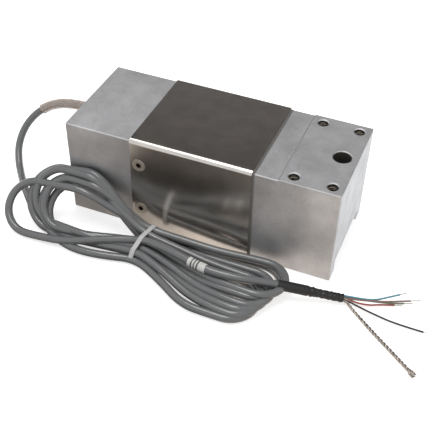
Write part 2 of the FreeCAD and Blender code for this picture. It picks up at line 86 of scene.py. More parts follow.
# The turns. At the tie each strand has a slot (y, z), on the front side or on the beam's side.
TIE_X = -29.0
TIE_LEAN, TIE_MIDDLE_Y = 0.22, -60.0
TIE_NEAR = [(-72, 2.7), (-69.3, 7.2), (-66.6, 2.7), (-63.9, 7.2), (-61.2, 2.7), (-58.5, 7.2), (-61.2, 11.2)]
TIE_FAR = [(-55.8, 2.7), (-55.8, 11.2), (-53.1, 7.2), (-50.4, 2.7), (-47.7, 7.2), (-50.4, 11.2)]
# Each loop as the x of its end and, as (y, z), where its two strands enter the fold and where they
# pass on the way there: first the strand that leaves the tie, then the one that comes back
RIGHT_LOOPS = [
    (59, (-97.3, 2.7), (-63, 2.7), (-98, 2.7), (-62.5, 2.7)),
    (61, (-94.5, 5), (-61.5, 7.2), (-90, 3.5), (-60.5, 7.5)),
    (63, (-91, 7), (-58, 3.2), (-86, 4.5), (-57.5, 3.2)),
    (65.5, (-86.5, 8), (-54, 5.5), (-82, 5.5), (-54, 5)),
    (68, (-79.5, 8.5), (-44.8, 3.5), (-77.5, 6), (-46, 3.5)),
    (71, (-77.5, 10.5), (-45.3, 8), (-74.5, 8.5), (-49.5, 9)),
]
LEFT_LOOPS = [
    (-102, (-42, 27), (-71, 2.9), (-43, 26), (-71, 3)),
    (-108, (-43.5, 31), (-70, 4.5), (-44.5, 31.5), (-71.5, 3.5)),
    (-117, (-41.7, 35.5), (-69.5, 2.9), (-41.5, 42.5), (-74, 4)),
    (-113, (-44, 37), (-67, 7), (-44.5, 40), (-71, 9)),
    (-105, (-47, 33), (-70, 6.5), (-47.5, 34.5), (-69.5, 8)),
    (-129, (-52, 27), (-79.5, 2.9), (-52.5, 33), (-79.5, 5.5)),
]
# How far along and how far across a strand is at its stations between the tie and the fold
STATIONS = [(0.28, 0.42), (0.56, 0.95)]
# A strand is straight from this share of its length before the fold
FOLD_ENTRY = 0.19
# A fold's corners lie this share of its width from the strands, on the octagon round its arc
FOLD_CORNER = (1 - math.tan(math.pi / 8)) / 2

# From the tie over the hank to the shrink tube
TAIL = [
    (-20, -63.8, 13.5), (-8, -66.0, 14.2), (5, -69.3, 14.2), (22, -73, 14.2), (38, -72.5, 14.0),
    (52, -69.4, 13.4), (62.9, -65.9, 12.0), (70.5, -63.7, 10.7),
]
MARKER_SPAN, MARKER_RADIUS, MARKER_BORE = (8.6, 21.6), 3.1, 2.72
MARKER_RINGS = (3.0, 5.2, 7.4)
MARKER_RING_WIDTH = 1.1
SHRINK_OVERLAP = 3.0
# The shrink tube's radius over the jacket, its step down, and the lump where the step starts
SHRINK_RADIUS, SHRINK_STEP, SHRINK_STEP_LENGTH = 3.45, 0.65, 1.2
LUMP_RISE, LUMP_LENGTH, LUMP_AFTER = 0.5, 1.8, 3.0

# Cores: colour, place on the shrink tube's end face as (sideways, up), length of bare tip, and route
CORES = {
    "blue": ("#68A9BC", (0.6, 1.9), 5.0,
             [(123, -48, 4.4), (129, -45.2, 4.1), (134.5, -40.3, 3.8), (141.3, -34.6, 3.6)]),
    "green": ("#8E9980", (1.9, 0.4), 5.5,
              [(119, -48.8, 3.2), (129, -45.8, 2.7), (139.5, -43, 2.6), (145.5, -40.2, 2.6)]),
    "brown": ("#94796C", (-0.9, 1.6), 6.5,
              [(118, -51, 4.9), (130, -46.8, 4.5), (139.5, -42.7, 4.3), (149, -37.8, 4.2)]),
    "red": ("#CB6E68", (0.5, 0.2), 5.0,
            [(116, -52.0, 2.8), (125, -49.6, 1.5), (131.5, -45.9, 1.3), (140, -42.8, 1.2)]),
    "black": ("#1B1B1E", (0.6, -1.7), 1.8,
              [(118, -53.2, 1.6), (130, -55.4, 1.1), (145, -57.6, 0.9), (162, -57.6, 1.2)]),
}
BRAID_PLACE = (-1.5, -0.6)
BRAID = [(114, -56.0, 2.0), (124, -63.5, 1.5), (136, -72.8, 1.4), (148, -81.6, 1.5), (160, -91.2, 2.3)]

# Camera, in metres: the directions of its right, its up and its back, its place and its lens
CAMERA_AXES = ((0.92594, 0.37702, 0.02220), (-0.26939, 0.61813, 0.73848), (0.26470, -0.68977, 0.67391))
CAMERA_PLACE = (0.16560, -0.42171, 0.39992)
CAMERA_LENS, CAMERA_SENSOR = 68.03, 36.0

# Studio, in metres: the room's light on the object, softboxes as (name, place, size, watts), and
# the cards. The floor lies just under the object, and the floor card just over the floor.
ROOM_LIGHT = 0.52
FLOOR_LIFT = 0.62
LIGHT_TARGET = (0, 0, 0.04)
FLOOR_HALF, FLOOR_Z = 3, -0.0004
BACK_CARD_HALF, BACK_CARD_Y, BACK_CARD_Z = 1.6, 0.9, (0.05, 1.7)
FLOOR_CARD_HALF, FLOOR_CARD_Y, FLOOR_CARD_Z = 0.35, (-0.42, -0.036), 0.0002
SOFTBOXES = [
    ("overhead_softbox", (-0.22, -0.1, 1.2), (0.9, 0.4), 5.2),
    ("back_strip", (-0.3, 1.1, 0.45), (1.6, 0.05), 2.0),
]
# The back card's glow, at its foot and at its head: before and after, and the heights between
BACK_FOOT, BACK_HEAD = (0.12, 0.01, 0.80, 0.98), (0.0, 1.7, 1.25, 1.60)
# The floor card's glow: near the cable's side of the beam, further off, and to the right
CARD_NEAR, CARD_FAR, CARD_RIGHT, CARD_PATCH = 0.40, 0.68, 1.0, 0.03
CARD_RIGHT_EDGE, CARD_FAR_EDGE = (-0.060, 0.010), (-0.075, -0.105)
# The black patch's soft edges: axis, its share before and after, and where an edge starts and ends
PATCH_EDGES = [("X", 0.0, 1.0, -0.100, -0.075), ("X", 1.0, 0.0, 0.020, 0.050),
               ("Y", 1.0, 0.0, -0.080, -0.062), ("Y", 0.84, 1.0, -0.120, -0.100)]


# ---------------------------------------------------------------- colour and node helpers

def linear(code):
    """An sRGB hex colour as linear red, green, blue and alpha."""
    channels = [int(code[i:i + 2], 16) / 255 for i in (1, 3, 5)]
    return [c / 12.92 if c <= 0.04045 else ((c + 0.055) / 1.055) ** 2.4 for c in channels] + [1.0]


def tone(colour, factor):
    """The colour made darker or lighter."""
    return [min(1.0, c * factor) for c in colour[:3]] + [1.0]


def output(source):
    """The socket itself, or a node's first output in use."""
    if isinstance(source, bpy.types.NodeSocket):
        return source
    return next(socket for socket in source.outputs if socket.enabled)


def add(tree, kind, settings=None, **links):
    """Adds a node: settings are attributes, or input values by name or number; links are sockets,
    or nodes whose first output in use is meant."""
    node = tree.nodes.new(kind)
    for key, value in (settings or {}).items():
        if isinstance(key, str) and hasattr(node, key):
            setattr(node, key, value)
        else:
            node.inputs[key].default_value = value
    for key, source in links.items():
        name = int(key[1:]) if key[1:].isdigit() else key.replace("_", " ")
        tree.links.new(output(source), node.inputs[name])
    return node


def new_material(name, metallic=0.0):
    """A material with its tree, its shader and the Object coordinates in metres."""
    material = bpy.data.materials.new(name)
    material.use_nodes = True
    tree = material.node_tree
    shader = tree.nodes["Principled BSDF"]
    shader.inputs["Metallic"].default_value = metallic
    return material, tree, shader, add(tree, "ShaderNodeTexCoord").outputs["Object"]


def finished(tree, shader, colour, gloss=None, relief=None):
    """Links a finish's colour, gloss and relief to its shader."""
    for name, source in (("Base Color", colour), ("Roughness", gloss), ("Normal", relief)):
        if source is not None:
            tree.links.new(output(source), shader.inputs[name])


def per_mm(size):
    """The noise scale whose grains are about size millimetres across."""
    return 1.0 / (size * MM)


def ranged(low, high, start=0.0, end=1.0, smooth=False):
    """Map Range settings that go from low to high while the value goes from start to end."""
    return {"interpolation_type": "SMOOTHSTEP" if smooth else "LINEAR",
            "From Min": start, "From Max": end, "To Min": low, "To Max": high}


def two_tones(colour, dark, light):
    """Mix settings for one colour in a darker and a lighter tone."""
    return {"data_type": "RGBA", 6: tone(colour, dark), 7: tone(colour, light)}


def patchy(tree, field, span, colour, tones):
    """The colour in patches of two tones, where a noise field runs between the limits of span."""
    share = add(tree, "ShaderNodeMapRange", ranged(0.0, 1.0, *span), Value=field)
    return add(tree, "ShaderNodeMix", two_tones(colour, *tones), _0=share)


def off_centre(tree, source, centre):
    """How far a coordinate lies from a place in millimetres, to either side, in metres."""
    side = add(tree, "ShaderNodeMath", {"operation": "SUBTRACT", 1: centre * MM}, _0=source)
    return add(tree, "ShaderNodeMath", {"operation": "ABSOLUTE"}, _0=side)


def near_axis(tree, across, up, middle, half, radius):
    """1 within a radius of the four axes that stand at middle, plus or minus half, in two directions."""
    sides = [add(tree, "ShaderNodeMath", {"operation": "SUBTRACT", 1: offset * MM},
                 _0=off_centre(tree, socket, centre))
             for socket, centre, offset in zip((across, up), middle, half)]
    reach = add(tree, "ShaderNodeCombineXYZ", None, X=sides[0], Y=sides[1])
    away = add(tree, "ShaderNodeVectorMath", {"operation": "LENGTH"}, _0=reach)
    return add(tree, "ShaderNodeMath", {"operation": "LESS_THAN", 1: radius * MM}, _0=away)


def grained(name, colour, grain_mm, tones, gloss, depth_mm=0.0, detail=3.0, metallic=0.0):
    """A material whose colour, gloss and relief all follow one grain, and its shader."""
    material, tree, shader, coords = new_material(name, metallic)
    grain = add(tree, "ShaderNodeTexNoise", {"Scale": per_mm(grain_mm), "Detail": detail}, Vector=coords)
    body = add(tree, "ShaderNodeMix", two_tones(colour, *tones), _0=grain)
    shine = add(tree, "ShaderNodeMapRange", ranged(*gloss), Value=grain)
    relief = add(tree, "ShaderNodeBump", {"Distance": depth_mm * MM}, Height=grain) if depth_mm else None
    finished(tree, shader, body, shine, relief)
    return material, shader


# ---------------------------------------------------------------- metal finishes

def milled_aluminium(colour):
    """Aluminium alloy, face-milled and lightly etched: even silver grey with a fine tooth and faint
    cutter lines. The drilled walls are darkened as painted shade, and a painted shade line marks the crease
    at the foot of the pad."""
    material, tree, shader, coords = new_material("milled_aluminium", 1.0)
    # The etched tooth is about 0.1 mm, drawn at 0.9 mm so that it shows
    tooth = add(tree, "ShaderNodeTexNoise", {"Scale": per_mm(0.9), "Detail": 5.0, "Roughness": 0.65},
                Vector=coords)
    cloud = add(tree, "ShaderNodeTexNoise", {"Scale": per_mm(16), "Detail": 3.0}, Vector=coords)
    both = add(tree, "ShaderNodeMath", {"operation": "ADD"}, _0=tooth, _1=cloud)
    surface = patchy(tree, both, (0.65, 1.35), colour, (0.74, 1.16))
    place = add(tree, "ShaderNodeSeparateXYZ", None, Vector=coords)
    # Painted shade: the walls of the tapped holes and of the stop bore are darkened where shade falls in
    # them
    for middle, half, radius, hole_shade in ((BOLTS_X, (BOLTS_HALF_X, BOLTS_HALF_Y), TAPPED_RADIUS, "#46413A"),
                                      (STOP_X, (0.0, 0.0), STOP_RADIUS, "#8A8680")):
        wall = near_axis(tree, place.outputs["X"], place.outputs["Y"], (middle, 0.0), half,
                         radius + HOLE_SHADE_MARGIN)
        surface = add(tree, "ShaderNodeMix", {"data_type": "RGBA", 7: linear(hole_shade)}, _0=wall, _6=surface)
    # Painted shade in the crease at the foot of the pad: a dark line about 0.5 mm wide, broken by the cloud
    foot = off_centre(tree, place.outputs["X"], PAD_EDGE_X - 0.15)
    foot = add(tree, "ShaderNodeMapRange", ranged(0.55, 0.0, 0.15 * MM, 0.55 * MM), Value=foot)
    above = add(tree, "ShaderNodeMath", {"operation": "GREATER_THAN", 1: PAD_FOOT_Z * MM},
                _0=place.outputs["Z"])
    line = add(tree, "ShaderNodeMath", {"operation": "MULTIPLY"}, _0=foot, _1=above)
    gaps = add(tree, "ShaderNodeMapRange", ranged(0.25, 1.0, 0.40, 0.60), Value=cloud)
    line = add(tree, "ShaderNodeMath", {"operation": "MULTIPLY"}, _0=line, _1=gaps)
    crease_shaded = add(tree, "ShaderNodeMix", {"data_type": "RGBA", 7: linear("#5A5B60")}, _0=line, _6=surface)
    gloss = add(tree, "ShaderNodeMapRange", ranged(0.40, 0.56), Value=tooth)
    stretch = add(tree, "ShaderNodeMapping", {"Scale": (0.06, 1.0, 1.0)}, Vector=coords)
    cutter = add(tree, "ShaderNodeTexNoise", {"Scale": per_mm(0.7), "Detail": 2.0}, Vector=stretch)
    rise = add(tree, "ShaderNodeMath", {"operation": "ADD"}, _0=cutter, _1=tooth)
    relief = add(tree, "ShaderNodeBump", {"Distance": 0.025 * MM}, Height=rise)
    finished(tree, shader, crease_shaded, gloss, relief)
    return material


def polished_stainless(colour):
    """Cold-rolled stainless sheet, mirror-polished: it shows the room, a little wavy, with fine
    rolling lines and a few brown heat and finger marks."""
    material, tree, shader, coords = new_material("polished_stainless", 1.0)
    marks = add(tree, "ShaderNodeTexNoise", {"Scale": per_mm(13), "Detail": 4.0, "Roughness": 0.6},
                Vector=coords)
    sheet = patchy(tree, marks, (0.35, 0.65), colour, (0.90, 1.05))
    # Rolling lines are about 0.05 mm apart, drawn 0.8 mm apart
    stretch = add(tree, "ShaderNodeMapping", {"Scale": (1.0, 0.03, 0.03)}, Vector=coords)
    lines = add(tree, "ShaderNodeTexNoise", {"Scale": per_mm(0.8), "Detail": 3.0}, Vector=stretch)
    gloss = add(tree, "ShaderNodeMapRange", ranged(0.18, 0.22), Value=lines)
    waves = add(tree, "ShaderNodeTexNoise", {"Scale": per_mm(26), "Detail": 1.0}, Vector=coords)
    relief = add(tree, "ShaderNodeBump", {"Distance": 0.25 * MM}, Height=waves)
    fine = add(tree, "ShaderNodeBump", {"Distance": 0.0012 * MM}, Height=lines, Normal=relief)
    finished(tree, shader, sheet, gloss, fine)
    return material


def tinned_copper(name, colour):
    """Tinned copper wire, drawn and twisted: bright grey-brown, duller where the tin has oxidised."""
    material, tree, shader, coords = new_material(name, 1.0)
    oxide = add(tree, "ShaderNodeTexNoise", {"Scale": per_mm(1.6), "Detail": 3.0}, Vector=coords)
    wire = patchy(tree, oxide, (0.35, 0.65), colour, (0.45, 1.2))
    gloss = add(tree, "ShaderNodeMapRange", ranged(0.28, 0.48), Value=oxide)
    finished(tree, shader, wire, gloss)
    return material


def turned_metal(name, colour, rough, turning_mm):
    """Bar stock turned on a lathe and plated or left bright: fine rings of tool marks in its gloss."""
    return grained(name, colour, turning_mm, (0.78, 1.1), (rough * 0.75, rough * 1.3), 0.01, metallic=1.0)[0]


def socket_screw(colour):
    """Countersunk stainless screws: a bright turned rim round a socket, the socket darkened with painted
    shade.
    """
    material, tree, shader, coords = new_material("stainless_socket_screw", 1.0)
    marks = add(tree, "ShaderNodeTexNoise", {"Scale": per_mm(0.5), "Detail": 3.0}, Vector=coords)
    head = add(tree, "ShaderNodeMix", two_tones(colour, 0.7, 1.1), _0=marks)
    place = add(tree, "ShaderNodeSeparateXYZ", None, Vector=coords)
    socket = near_axis(tree, place.outputs["X"], place.outputs["Z"], SCREWS_MIDDLE, SCREWS_HALF,
                       SOCKET_RADIUS)
    # Painted shade: the socket's recess is darkened
    socket_shaded = add(tree, "ShaderNodeMix", {"data_type": "RGBA", 7: linear("#57514A")}, _0=socket, _6=head)
    finished(tree, shader, socket_shaded)
    shader.inputs["Roughness"].default_value = 0.42
    return material


# ---------------------------------------------------------------- plastic and rubber finishes

def moulded(name, colour, rough, grain_mm=1.5, depth_mm=0.01, worn=0.8):
    """A plain moulded or extruded plastic, rubber or resin: one colour, a slight cloud in it and a
    skin that breaks its gloss."""
    return grained(name, colour, grain_mm, (worn, 1.08), (rough * 0.8, rough * 1.25), depth_mm)[0]


def pvc_jacket(colour):
    """Extruded grey PVC: satin to glossy, faintly mottled, with small scuffs that take the gloss off
    and the slight unevenness of the cores under it."""
    material, tree, shader, coords = new_material("grey_pvc_jacket")
    cloud = add(tree, "ShaderNodeTexNoise", {"Scale": per_mm(7), "Detail": 4.0}, Vector=coords)
    body = patchy(tree, cloud, (0.3, 0.7), colour, (0.95, 1.05))
    scuffs = add(tree, "ShaderNodeTexNoise", {"Scale": per_mm(1.8), "Detail": 4.0}, Vector=coords)
    gloss = add(tree, "ShaderNodeMapRange", ranged(0.07, 0.18, 0.35, 0.7), Value=scuffs)
    relief = add(tree, "ShaderNodeBump", {"Distance": 0.006 * MM}, Height=scuffs)
    finished(tree, shader, body, gloss, relief)
    shader.inputs["IOR"].default_value = 1.6
    return material


def clear_silicone(colour):
    """Translucent silicone tube, extruded: the cable shows through it, its wall is pale and it shines."""
    material, shader = grained("clear_silicone_tube", colour, 5, (0.85, 1.1), (0.08, 0.16), detail=2.0)
    for name, value in (("IOR", 1.41), ("Transmission Weight", 0.7), ("Coat Weight", 1.0),
                        ("Coat Roughness", 0.05)):
        shader.inputs[name].default_value = value
    return material


def banded_marker(colour):
    """White PVC marker tube: matt, with plain dark rings printed round it."""
    material, tree, shader, coords = new_material("white_marker_tube")
    soil = add(tree, "ShaderNodeTexNoise", {"Scale": per_mm(2), "Detail": 3.0}, Vector=coords)
    body = add(tree, "ShaderNodeMix", two_tones(colour, 0.85, 1.05), _0=soil)
    along = add(tree, "ShaderNodeAttribute", {"attribute_name": "along"}).outputs["Fac"]
    rings = [add(tree, "ShaderNodeMath", {"operation": "LESS_THAN", 1: MARKER_RING_WIDTH * MM / 2},
                 _0=off_centre(tree, along, ring)) for ring in MARKER_RINGS]
    ink = rings[0]
    for ring in rings[1:]:
        ink = add(tree, "ShaderNodeMath", {"operation": "MAXIMUM"}, _0=ink, _1=ring)
    worn = add(tree, "ShaderNodeMapRange", ranged(0.7, 1.0, 0.3, 0.6), Value=soil)
    ink = add(tree, "ShaderNodeMath", {"operation": "MULTIPLY"}, _0=ink, _1=worn)
    printed = add(tree, "ShaderNodeMix", {"data_type": "RGBA", 7: linear("#2A2A2C")}, _0=ink, _6=body)
    finished(tree, shader, printed)
    shader.inputs["Roughness"].default_value = 0.42
    return material


def heat_shrink(colour):
    """Black polyolefin tube shrunk with hot air: satin, wrinkled, with lengthwise draw lines."""
    return grained("black_heat_shrink", colour, 2.2, (0.6, 1.4), (0.28, 0.55), 0.25, detail=4.0)[0]


# ---------------------------------------------------------------- geometry helpers

def metres(points):
    return [Vector(p) * MM for p in points]


def nurbs(name, points, radius=0.0, resolution=8):
    """A curve object of one NURBS spline with the points as its control points."""
    data = bpy.data.curves.new(name, "CURVE")
    data.dimensions = "3D"
    spline = data.splines.new("NURBS")
    spline.points.add(len(points) - 1)
    for point, place in zip(spline.points, points):
        point.co = (*place, 1.0)
    spline.order_u = 3
    spline.use_endpoint_u = True
    spline.resolution_u = resolution
    data.resolution_u = resolution
    data.bevel_depth = radius
    data.bevel_resolution = 6
    data.use_fill_caps = True
    curve = bpy.data.objects.new(name, data)
    bpy.context.collection.objects.link(curve)
    return curve


def read_mesh(obj):
    """The evaluated object as a plain mesh."""
    bpy.context.view_layer.update()
    return bpy.data.meshes.new_from_object(obj.evaluated_get(bpy.context.evaluated_depsgraph_get()))


def centreline(points, resolution=8):
    """Points along the NURBS spline of the control points."""
    curve = nurbs("centreline", points, resolution=resolution)
    mesh = read_mesh(curve)
    line = [v.co.copy() for v in mesh.vertices]
    bpy.data.objects.remove(curve)
    bpy.data.meshes.remove(mesh)
    return line


def run_length(line):
    return sum((b - a).length for a, b in zip(line, line[1:]))


def resampled(line, step):
    """The line's points at an even step."""
    total = run_length(line)
    count = max(2, round(total / step))
    result, travelled, i = [line[0]], 0.0, 0
    for k in range(1, count):
        target = total * k / count
        while travelled + (line[i + 1] - line[i]).length < target:
            travelled += (line[i + 1] - line[i]).length
            i += 1
        share = (target - travelled) / (line[i + 1] - line[i]).length
        result.append(line[i].lerp(line[i + 1], share))
    return result + [line[-1]]


def frames(line):
    """A tangent and two normals at each point, turned as little as possible along the line."""
    tangents = []
    for i in range(len(line)):
        a, b = line[max(i - 1, 0)], line[min(i + 1, len(line) - 1)]
        tangents.append((b - a).normalized())
    normal = tangents[0].orthogonal().normalized()
    result = []
    for tangent in tangents:
        normal = (normal - tangent * normal.dot(tangent)).normalized()
        result.append((tangent, normal, tangent.cross(normal)))
    return result


def linked(name, mesh):
    obj = bpy.data.objects.new(name, mesh)
    bpy.context.collection.objects.link(obj)
    return obj


def skin(name, rings, closed=False, along=None):
    """A mesh object through rings of points, its ends capped or joined. along is each ring's
    distance from the start, kept for patterns that go round the piece."""
    mesh = bpy.data.meshes.new(name)
    count = len(rings[0])
    faces = []
    for i in range(len(rings) if closed else len(rings) - 1):
        j = (i + 1) % len(rings)
        for k in range(count):
            m = (k + 1) % count
            faces.append((i * count + k, i * count + m, j * count + m, j * count + k))
    if not closed:
        faces.append(tuple(reversed(range(count))))
        faces.append(tuple(range((len(rings) - 1) * count, len(rings) * count)))
    mesh.from_pydata([tuple(p) for ring in rings for p in ring], [], faces)
    work = bmesh.new()
    work.from_mesh(mesh)
    bmesh.ops.recalc_face_normals(work, faces=work.faces)
    work.to_mesh(mesh)
    work.free()
    mesh.shade_smooth()
    mesh.set_sharp_from_angle(angle=math.radians(50))
    if along:
        values = mesh.attributes.new("along", "FLOAT", "POINT")
        values.data.foreach_set("value", [distance for distance in along for _ in range(count)])
    return linked(name, mesh)


def rings_along(line, radius_at, sides):
    """Rings round a line; radius_at(millimetres along, angle) gives their radius in millimetres."""
    rings, distances, travelled = [], [], 0.0
    for i, (point, (_, n, b)) in enumerate(zip(line, frames(line))):
        travelled += (point - line[i - 1]).length if i else 0.0
        ring = []
        for k in range(sides):
            angle = 2 * math.pi * k / sides
            way = n * math.cos(angle) + b * math.sin(angle)
            ring.append(point + way * radius_at(travelled / MM, angle) * MM)
        rings.append(ring)
        distances.append(travelled)
    return rings, distances


def tube_along(name, line, radius_at, sides=24):
    """A solid round tube along a line."""
    rings, along = rings_along(line, radius_at, sides)
    return skin(name, rings, along=along)


def open_tube_along(name, line, outer_at, inner, sides=32):
    """A tube with a bore, open at both ends."""
    outer, along = rings_along(line, outer_at, sides)
    inside, _ = rings_along(line, lambda s, angle: inner, sides)
    return skin(name, outer + inside[::-1], closed=True, along=along + along[::-1])


def dressed(obj, material, slot, *nodes):
    """Gives a finished piece its finish, its place on the frame and the solids it stands for."""
    obj.data.materials.clear()
    obj.data.materials.append(material)
    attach(obj, "root")
    if nodes:
        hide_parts(*nodes)
    return obj


# ---------------------------------------------------------------- Geometry Nodes

def new_tree(name, inputs):
    """A Geometry Nodes tree with its named inputs and one geometry output."""
    tree = bpy.data.node_groups.new(name, "GeometryNodeTree")
    tree.interface.new_socket("Geometry", in_out="INPUT", socket_type="NodeSocketGeometry")
    for label, kind in inputs:
        tree.interface.new_socket(label, in_out="INPUT", socket_type=kind)
    tree.interface.new_socket("Geometry", in_out="OUTPUT", socket_type="NodeSocketGeometry")
    return tree, tree.nodes.new("NodeGroupInput").outputs, tree.nodes.new("NodeGroupOutput").inputs


def strand_tree():
    """Twists round strands about a line. The twist opens from its thin start to its full width."""
    tree, given, result = new_tree("twisted_strands", [
        ("Strands", "NodeSocketInt"), ("Pitch", "NodeSocketFloat"), ("Lay Radius", "NodeSocketFloat"),
        ("Start Width", "NodeSocketFloat"), ("Strand Radius", "NodeSocketFloat"),
        ("Step", "NodeSocketFloat"),
        ("Finish", "NodeSocketMaterial")])
    line = add(tree, "GeometryNodeMeshToCurve", None, Mesh=given["Geometry"])
    even = add(tree, "GeometryNodeResampleCurve", {"mode": "LENGTH"}, Curve=line, Length=given["Step"])
    strands = add(tree, "GeometryNodeDuplicateElements", {"domain": "SPLINE"},
                  Geometry=even, Amount=given["Strands"])
    travelled = add(tree, "GeometryNodeSplineParameter")
    turns = add(tree, "ShaderNodeMath", {"operation": "DIVIDE"},
                _0=travelled.outputs["Length"], _1=given["Pitch"])
    shift = add(tree, "ShaderNodeMath", {"operation": "DIVIDE"},
                _0=strands.outputs["Duplicate Index"], _1=given["Strands"])
    phase = add(tree, "ShaderNodeMath", {"operation": "ADD"}, _0=turns, _1=shift)
    angle = add(tree, "ShaderNodeMath", {"operation": "MULTIPLY", 1: 2 * math.pi}, _0=phase)
    opening = add(tree, "ShaderNodeMapRange", {"From Max": 0.45, "To Max": 1.0},
                  Value=travelled.outputs["Factor"], To_Min=given["Start Width"])
    reach = add(tree, "ShaderNodeMath", {"operation": "MULTIPLY"}, _0=given["Lay Radius"], _1=opening)
    cosine = add(tree, "ShaderNodeMath", {"operation": "COSINE"}, _0=angle)
    sine = add(tree, "ShaderNodeMath", {"operation": "SINE"}, _0=angle)
    normal = add(tree, "GeometryNodeInputNormal")
    tangent = add(tree, "GeometryNodeInputTangent")
    side = add(tree, "ShaderNodeVectorMath", {"operation": "CROSS_PRODUCT"},
               _0=tangent, _1=normal)
    first = add(tree, "ShaderNodeVectorMath", {"operation": "SCALE"}, _0=normal, Scale=cosine)
    second = add(tree, "ShaderNodeVectorMath", {"operation": "SCALE"}, _0=side, Scale=sine)
    way = add(tree, "ShaderNodeVectorMath", {"operation": "ADD"}, _0=first, _1=second)
    offset = add(tree, "ShaderNodeVectorMath", {"operation": "SCALE"}, _0=way, Scale=reach)
    laid = add(tree, "GeometryNodeSetPosition", None, Geometry=strands, Offset=offset)
    section = add(tree, "GeometryNodeCurvePrimitiveCircle", {"mode": "RADIUS", "Resolution": 8},
                  Radius=given["Strand Radius"])
    tubes = add(tree, "GeometryNodeCurveToMesh", {"Fill Caps": True},
                Curve=laid, Profile_Curve=section)
    real = add(tree, "GeometryNodeRealizeInstances", None, Geometry=tubes)
    done = add(tree, "GeometryNodeSetMaterial", None, Geometry=real, Material=given["Finish"])
    tree.links.new(output(done), result["Geometry"])
    return tree


def thread_tree():
    """Winds a screw thread's ridge up the wall of a hole at each point, from the point upwards."""
    tree, given, result = new_tree("hole_thread", [
        ("Hole Radius", "NodeSocketFloat"), ("Depth", "NodeSocketFloat"), ("Pitch", "NodeSocketFloat"),
        ("Ridge", "NodeSocketFloat"), ("Finish", "NodeSocketMaterial")])
    turns = add(tree, "ShaderNodeMath", {"operation": "DIVIDE"}, _0=given["Depth"], _1=given["Pitch"])
    coil = add(tree, "GeometryNodeCurveSpiral", {"Resolution": 28}, Rotations=turns,
               Start_Radius=given["Hole Radius"], End_Radius=given["Hole Radius"], Height=given["Depth"])
    section = add(tree, "GeometryNodeCurvePrimitiveCircle", {"mode": "RADIUS", "Resolution": 4},
                  Radius=given["Ridge"])
    ridge = add(tree, "GeometryNodeCurveToMesh", {"Fill Caps": True},
                Curve=coil, Profile_Curve=section)
    holes = add(tree, "GeometryNodeInstanceOnPoints", None, Points=given["Geometry"], Instance=ridge)
    real = add(tree, "GeometryNodeRealizeInstances", None, Geometry=holes)
    done = add(tree, "GeometryNodeSetMaterial", None, Geometry=real, Material=given["Finish"])
    tree.links.new(output(done), result["Geometry"])
    return tree


def grown(name, mesh, tree, values):
    """The tree's result on a mesh, as a plain mesh object; values are the tree's named inputs."""
    seed = linked(name + "_seed", mesh)
    modifier = seed.modifiers.new(tree.name, "NODES")
    modifier.node_group = tree
    for item in tree.interface.items_tree:
        if item.in_out == "INPUT" and item.name in values:
            modifier[item.identifier] = values[item.name]
    grown_mesh = read_mesh(seed)
    seed.modifiers.clear()
    bpy.data.objects.remove(seed)
    grown_mesh.name = name
    grown_mesh.shade_smooth()
    grown_mesh.set_sharp_from_angle(angle=math.radians(50))
    return linked(name, grown_mesh)


def line_mesh(name, line):
    mesh = bpy.data.meshes.new(name)
    mesh.from_pydata([tuple(p) for p in line], [(i, i + 1) for i in range(len(line) - 1)], [])
    return mesh


# ---------------------------------------------------------------- the cable's route

def between(a, b, share):
    return tuple(p + (q - p) * share for p, q in zip(a, b))


def loop(slot_out, slot_back, end_x, fold_out, fold_back, pass_out, pass_back):
    """One loop from the tie round its end, a half circle, and back to the tie."""
    fold_x = end_x - math.copysign(FOLD_CORNER * math.dist(fold_out, fold_back), end_x - TIE_X)

    def strand(slot, passing, fold):
        places = [(TIE_X + (fold_x - TIE_X) * along, *between(slot, passing, across))
                  for along, across in STATIONS]
        entry_x = fold_x + (TIE_X - fold_x) * FOLD_ENTRY
        return places + [(entry_x, *between(passing, fold, 0.85)), (fold_x, *fold)]

    corners = [(end_x, *between(fold_out, fold_back, share)) for share in (FOLD_CORNER, 1 - FOLD_CORNER)]
    return strand(slot_out, pass_out, fold_out) + corners + strand(slot_back, pass_back, fold_back)[::-1]


def cable_route():
    """The whole cable: the lead, six turns through the tie, and the tail."""
    points = LEAD + LEAD_IN
    for turn, (right, left) in enumerate(zip(RIGHT_LOOPS, LEFT_LOOPS)):
        points.append((TIE_X, *TIE_NEAR[turn]))
        points += loop(TIE_NEAR[turn], TIE_FAR[turn], *right)
        points.append((TIE_X, *TIE_FAR[turn]))
        points += loop(TIE_FAR[turn], TIE_NEAR[turn + 1], *left)
    points.append((TIE_X, *TIE_NEAR[-1]))
    return metres(points + TAIL)


def tail_way():
    """Direction of the straight shrink tube, the tail's last run."""
    return (Vector(TAIL[-1]) - Vector(TAIL[-2])).normalized()


def end_face(place):
    """A point on the shrink tube's end face, in millimetres, and the way out of it."""
    way = tail_way()
    side = Vector((0, 0, 1)).cross(way).normalized()
    start = Vector(TAIL[-1]) + way * (SHRINK_WIDE + SHRINK_TAPER + SHRINK_NARROW)
    return start + side * place[0] + way.cross(side) * place[1], way


def core_route(place, route):
    start, way = end_face(place)
    return metres([start - way * 1.5, start + way * CORE_START] + route)


def beyond(path, length):
    """A straight line of points that goes on from a path's end."""
    way = (path[-1] - path[-2]).normalized()
    return [path[-1] + way * length * MM * k / 12 for k in range(13)]


# ---------------------------------------------------------------- properties

def length(name, description, default, least):
    """A length property; default and least are in millimetres."""
    return bpy.props.FloatProperty(
        name=name, description=description, default=default * MM, min=least * MM, unit="LENGTH")


def colour(name, description, code):
    """A colour property with an sRGB hex default."""
    return bpy.props.FloatVectorProperty(
        name=name, description=description, subtype="COLOR", size=4, default=linear(code))


